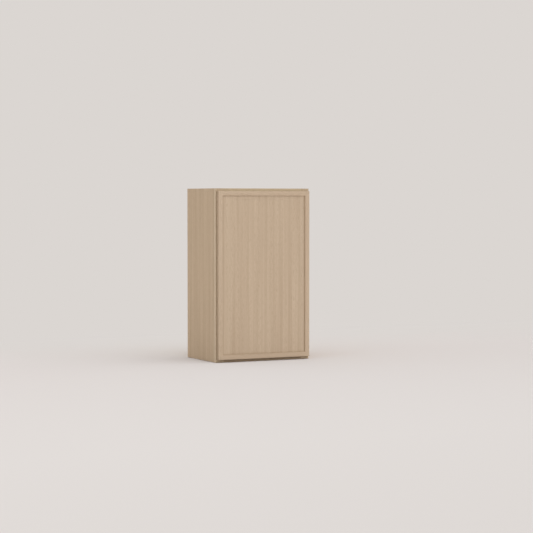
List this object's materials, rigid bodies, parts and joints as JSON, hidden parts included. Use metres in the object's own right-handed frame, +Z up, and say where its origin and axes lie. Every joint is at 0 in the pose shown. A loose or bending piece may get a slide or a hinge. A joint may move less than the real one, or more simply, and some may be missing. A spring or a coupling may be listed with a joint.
{
  "type": "hanging wall cabinet",
  "caption": "Oak face-frame wall cabinet with a slim-framed overlay door on concealed hinges and adjustable shelves inside, hung by screws through its rails.",
  "frame": {"origin": "centre of the four hanging-screw holes, on the wall plane at the back of the hanging rails", "axes": "+X to the right of someone facing the door, +Y into the wall, +Z up"},
  "size_m": [0.4572, 0.3224, 0.762],
  "materials": {
    "oak_veneer_panel": "satin clear lacquer",
    "oak_solid": "satin clear lacquer",
    "maple_plywood": "satin clear lacquer",
    "maple_edge_band": "satin clear lacquer",
    "hanging_rail_wood": "bare sanded",
    "nickel_steel": "nickel plated",
    "hinge_casting": "satin nickel plated casting",
    "shelf_pin_steel": "nickel plated",
    "damper_plastic": "moulded",
    "clear_bumper": "soft clear"
  },
  "bodies": {
    "cabinet": {"back_panel": "maple_plywood", "bottom_frame_rail": "oak_solid", "bottom_panel": "maple_plywood", "left_frame_stile": "oak_solid", "left_side_panel": "oak_veneer_panel", "lower_hanging_rail": "hanging_rail_wood", "lower_hinge_adjusters": "nickel_steel", "lower_hinge_arm": "nickel_steel", "lower_hinge_base": "hinge_casting", "lower_hinge_base_screws": "nickel_steel", "lower_shelf": "maple_plywood", "lower_shelf_edge_band": "maple_edge_band", "lower_shelf_pins": "shelf_pin_steel", "right_frame_stile": "oak_solid", "right_side_panel": "oak_veneer_panel", "top_frame_rail": "oak_solid", "top_panel": "maple_plywood", "upper_hanging_rail": "hanging_rail_wood", "upper_hinge_adjusters": "nickel_steel", "upper_hinge_arm": "nickel_steel", "upper_hinge_base": "hinge_casting", "upper_hinge_base_screws": "nickel_steel", "upper_shelf": "maple_plywood", "upper_shelf_edge_band": "maple_edge_band", "upper_shelf_pins": "shelf_pin_steel"},
    "door": {"door_bottom_rail": "oak_solid", "door_bumpers": "clear_bumper", "door_left_stile": "oak_solid", "door_panel": "oak_veneer_panel", "door_right_stile": "oak_solid", "door_top_rail": "oak_solid", "lower_hinge_cup": "nickel_steel", "lower_hinge_cup_screws": "nickel_steel", "lower_hinge_damper": "damper_plastic", "lower_hinge_pin": "nickel_steel", "upper_hinge_cup": "nickel_steel", "upper_hinge_cup_screws": "nickel_steel", "upper_hinge_damper": "damper_plastic", "upper_hinge_pin": "nickel_steel"}
  },
  "joints": [
    {"name": "door_swing", "type": "hinge", "parent": "cabinet", "child": "door", "pos_m": [0.2178, -0.3139, 0], "axis": [0, 0, 1], "range_deg": [0, 105]}
  ]
}
